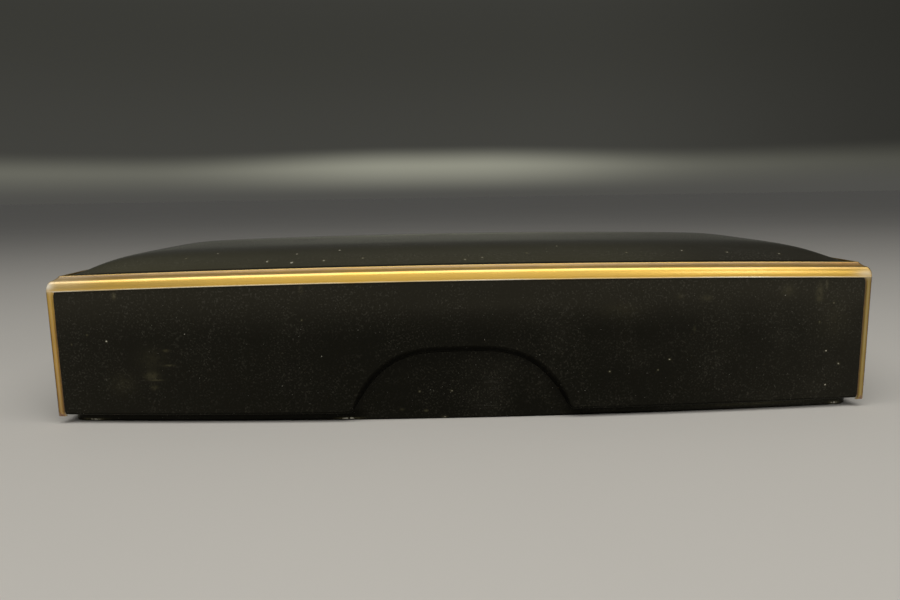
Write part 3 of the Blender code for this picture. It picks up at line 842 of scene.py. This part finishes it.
def make_tray(sizes, material):
    """The open tray, from the middle of its underside, up outside, over the rim and down to its floor."""
    plan = Plan(sizes, 120, 60, 9)
    inset = sizes.panel_sink + sizes.lid_wall + sizes.clearance
    inner = inset + sizes.tray_wall
    rim = sizes.edge_top - sizes.sunk_depth - sizes.lid_board - sizes.rest_gap
    foot_round, rim_round, cove = 0.6 * MM, 0.5 * MM, 2.4 * MM
    outer_corner, inner_corner = 5.0 * MM, 3.2 * MM
    turn = quarter(6)

    under = flat_rows(plan, inset + foot_round, 0.0, outer_corner, 12, outward=True)
    foot = plan.loops(inset + foot_round * (1 - np.sin(turn[1:])), foot_round * (1 - np.cos(turn[1:])),
                      outer_corner, arched=False)
    walls = np.concatenate([[1.4, 2.6, 3.6, 4.6] * np.array(MM), np.linspace(7 * MM, rim - rim_round, 10)])
    outside = plan.loops([inset] * len(walls), walls, outer_corner, arched=False)
    outside[..., 2] += arch(sizes, outside[..., 0]) * column(walls) / rim
    over = plan.loops(
        np.concatenate([inset + rim_round * (1 - np.cos(turn[1:])), inner - rim_round * (1 - np.sin(turn))]),
        np.concatenate([rim - rim_round * (1 - np.sin(turn[1:])), rim - rim_round * (1 - np.cos(turn))]),
        np.linspace(outer_corner, inner_corner, 2 * len(turn) - 1))
    floor = sizes.tray_floor
    depths = np.linspace(rim - rim_round, floor + cove, 8)[1:]
    inside = plan.loops([inner] * len(depths), depths, inner_corner, arched=False)
    inside[..., 2] += arch(sizes, inside[..., 0]) * column(depths - floor - cove) / rim
    hollow = plan.loops(inner + cove * (1 - np.cos(turn[1:])), floor + cove * (1 - np.sin(turn[1:])),
                        inner_corner, arched=False)
    bottom = flat_rows(plan, inner + cove, floor, inner_corner, 12)[1:]
    grid = np.concatenate([under, foot, outside, over, inside, hollow, bottom])
    # Painted shade: the foot is dark all round. The strip over it is dark only beside the notch, and fades
    # out to the right
    dark_foot = (0.6, 1.0, 1.0, 1.0, 1.0, 0.9)
    dark_strip = (0.55, 0.5, 0.5, 0.5)
    first = len(under) - 2
    strip = first + len(dark_foot)
    last = strip + len(dark_strip)
    x = grid[strip:last, :, 0]
    shaded = np.clip((100 * MM - x) / (45 * MM), 0, 1) * np.clip((np.abs(x) - 40 * MM) / (3 * MM), 0, 1)
    edge = np.zeros(grid.shape[:2])
    edge[first:strip] = column(dark_foot)
    edge[strip:last] = column(dark_strip) * shaded
    tray = Piece("tray_black_lacquer", ["edge"])
    tray.loft(grid, edge=edge)
    return tray.finish(material, "box_body", "black_lacquer")


def flat_rows(plan, inset, height, radius, steps, outward=False):
    """Loops that close a flat face, from its border to the line along its middle."""
    rows = plan.swelled(inset, height, radius, steps, outward)
    rows[..., 2] = height
    return rows


def make_floor(material):
    """A flat floor, wide enough to reach the horizon in every view."""
    reach = np.linspace(-1, 1, 9)
    x, y = np.meshgrid(30 * reach, 30 * reach)
    points = np.stack([x, y, 0 * x], axis=-1)
    index = np.arange(x.size).reshape(x.shape)
    mesh = bpy.data.meshes.new("floor")
    mesh.from_pydata(points.reshape(-1, 3).tolist(), [], Piece.around(index).tolist())
    mesh.materials.append(material)
    floor = bpy.data.objects.new("floor", mesh)
    bpy.context.scene.collection.objects.link(floor)
    return floor


def make_world(settings):
    """Dim light that grows to straight above, with a low band of haze.

    The haze is lightest straight ahead, and the right is dimmer. Under it the light is the far floor's.
    """
    world = bpy.data.worlds.new("studio")
    world.use_nodes = True
    bpy.context.scene.world = world
    nodes = Nodes(world.node_tree)
    across, _, up = nodes.parts(nodes.node("ShaderNodeTexCoord", output="Generated"))
    middle = 1 - abs(across).ramp(0.05, 0.40)
    low = 1 - up.ramp(0.04, 0.30)
    band = 1 - (up + (1 - middle) * 0.010).ramp(0.040, 0.072)
    right = across.ramp(0.15, 0.70)
    light = nodes.mix(up.ramp(0.15, 0.9), settings.backdrop, settings.sky)
    light = nodes.mix(low * 0.4, light, settings.horizon)
    light = nodes.mix(band * (0.42 + 0.58 * middle), light, settings.haze)
    light = nodes.mix(right * 0.6, light, settings.dim)
    light = nodes.mix(1 - up.ramp(0.0, 0.045), light, settings.horizon)
    nodes.feed(world.node_tree.nodes["Background"].inputs["Color"], light)


def soft_light(name, place, target, width, height, watts):
    """A rectangular soft light that faces its target."""
    data = bpy.data.lights.new(name, "AREA")
    data.shape = "RECTANGLE"
    data.size, data.size_y = width, height
    data.energy = watts
    data.color = LAMP_TINT
    light = bpy.data.objects.new(name, data)
    light.location = place
    light.rotation_euler = (Vector(target) - Vector(place)).to_track_quat("-Z", "Y").to_euler()
    bpy.context.scene.collection.objects.link(light)


def make_camera(settings):
    """A camera from its tilt down, its roll and its turn to the left."""
    tilt, roll, turn = settings.camera_turn
    ahead = Vector((-math.sin(turn) * math.cos(tilt), math.cos(turn) * math.cos(tilt), -math.sin(tilt)))
    level = Vector((math.cos(turn), math.sin(turn), 0.0))
    above = level.cross(ahead)
    right = level * math.cos(roll) + above * math.sin(roll)
    up = above * math.cos(roll) - level * math.sin(roll)
    data = bpy.data.cameras.new("camera")
    data.lens = settings.lens
    data.sensor_width = 36.0
    data.sensor_fit = "HORIZONTAL"
    data.clip_start = 0.01
    camera = bpy.data.objects.new("camera", data)
    camera.matrix_world = Matrix.Translation(Vector(settings.camera_place)) @ Matrix(
        (right, up, -ahead)).transposed().to_4x4()
    bpy.context.scene.collection.objects.link(camera)
    bpy.context.scene.camera = camera


def marks_on_front(rows, y):
    """Marks on a front wall at this Y, each with its strength, its place and its reach, in metres."""
    return [(strength, (x * MM, y, z * MM), (reach_x * MM, 8 * MM, reach_z * MM))
            for strength, x, z, reach_x, reach_z in rows]


class LETTERBOX_OT_lid(Operator):
    """Make the black lid with its swelled top and grip notches"""

    bl_idname = "letter_box.lid"
    bl_label = "Black Lid"

    def execute(self, context):
        finish = context.scene.letter_box_finish
        marks = marks_on_front(LID_FRONT_MARKS, -83 * MM)
        reach = (0.6 * MM, 0.9 * MM, 1.5 * MM)
        marks += [(strength, (x * MM, y * MM, z * MM), reach) for strength, x, y, z in LID_TOP_MARKS]
        material = black_lacquer(finish, "black lacquer", 1.0, finish.gloss, marks)
        make_black_lid(context.scene.letter_box_sizes, material)
        return {"FINISHED"}


class LETTERBOX_OT_gilding(Operator):
    """Make the gilt moulded edge and the gilt corner beads"""

    bl_idname = "letter_box.gilding"
    bl_label = "Gilding"

    def execute(self, context):
        make_gilding(context.scene.letter_box_sizes, gold_lacquer(context.scene.letter_box_finish))
        return {"FINISHED"}


class LETTERBOX_OT_tray(Operator):
    """Make the black tray that the lid covers"""

    bl_idname = "letter_box.tray"
    bl_label = "Tray"

    def execute(self, context):
        finish = context.scene.letter_box_finish
        marks = marks_on_front(TRAY_FRONT_MARKS, -80 * MM)
        material = black_lacquer(finish, "tray lacquer", 1.2, finish.gloss + 0.05, marks)
        make_tray(context.scene.letter_box_sizes, material)
        return {"FINISHED"}


class LETTERBOX_OT_stage(Operator):
    """Set the pale floor, the soft lights and the camera"""

    bl_idname = "letter_box.stage"
    bl_label = "Stage"

    def execute(self, context):
        settings = context.scene.letter_box_stage
        make_floor(pale_floor(settings))
        make_world(settings)
        # The target is a hair behind the light, which keeps the light's long side along X
        soft_light("overhead", (0, -0.60, 1.10), (0, -0.5999, 0), 2.2, 0.92, settings.overhead)
        soft_light("front", (0.1, -1.45, 0.55), (0, 0, 0.05), 2.6, 0.95, settings.front)
        soft_light("side", (0.88, -1.22, 0.55), (0.14, 0, 0.05), 0.35, 0.25, settings.side)
        context.scene.view_settings.view_transform = "Standard"
        make_camera(settings)
        return {"FINISHED"}


class LETTERBOX_PT_panel(Panel):
    """Lists the steps that make the letter box"""

    bl_idname = "LETTERBOX_PT_panel"
    bl_label = "Letter Box"
    bl_space_type = "VIEW_3D"
    bl_region_type = "UI"
    bl_category = "Letter Box"

    def draw(self, context):
        for operator in OPERATORS:
            self.layout.operator(operator.bl_idname)


GROUPS = {
    "letter_box_sizes": LetterBoxSizes,
    "letter_box_finish": LetterBoxFinish,
    "letter_box_stage": LetterBoxStage,
}
OPERATORS = (LETTERBOX_OT_lid, LETTERBOX_OT_gilding, LETTERBOX_OT_tray, LETTERBOX_OT_stage)


def register():
    for kind in (*GROUPS.values(), *OPERATORS, LETTERBOX_PT_panel):
        bpy.utils.register_class(kind)
    for name, group in GROUPS.items():
        setattr(bpy.types.Scene, name, PointerProperty(type=group))


def unregister():
    for name in GROUPS:
        delattr(bpy.types.Scene, name)
    for kind in (LETTERBOX_PT_panel, *reversed(OPERATORS), *GROUPS.values()):
        bpy.utils.unregister_class(kind)


def main():
    register()
    bpy.ops.letter_box.lid()
    bpy.ops.letter_box.gilding()
    bpy.ops.letter_box.tray()
    bpy.ops.letter_box.stage()


if __name__ == "__main__":
    main()
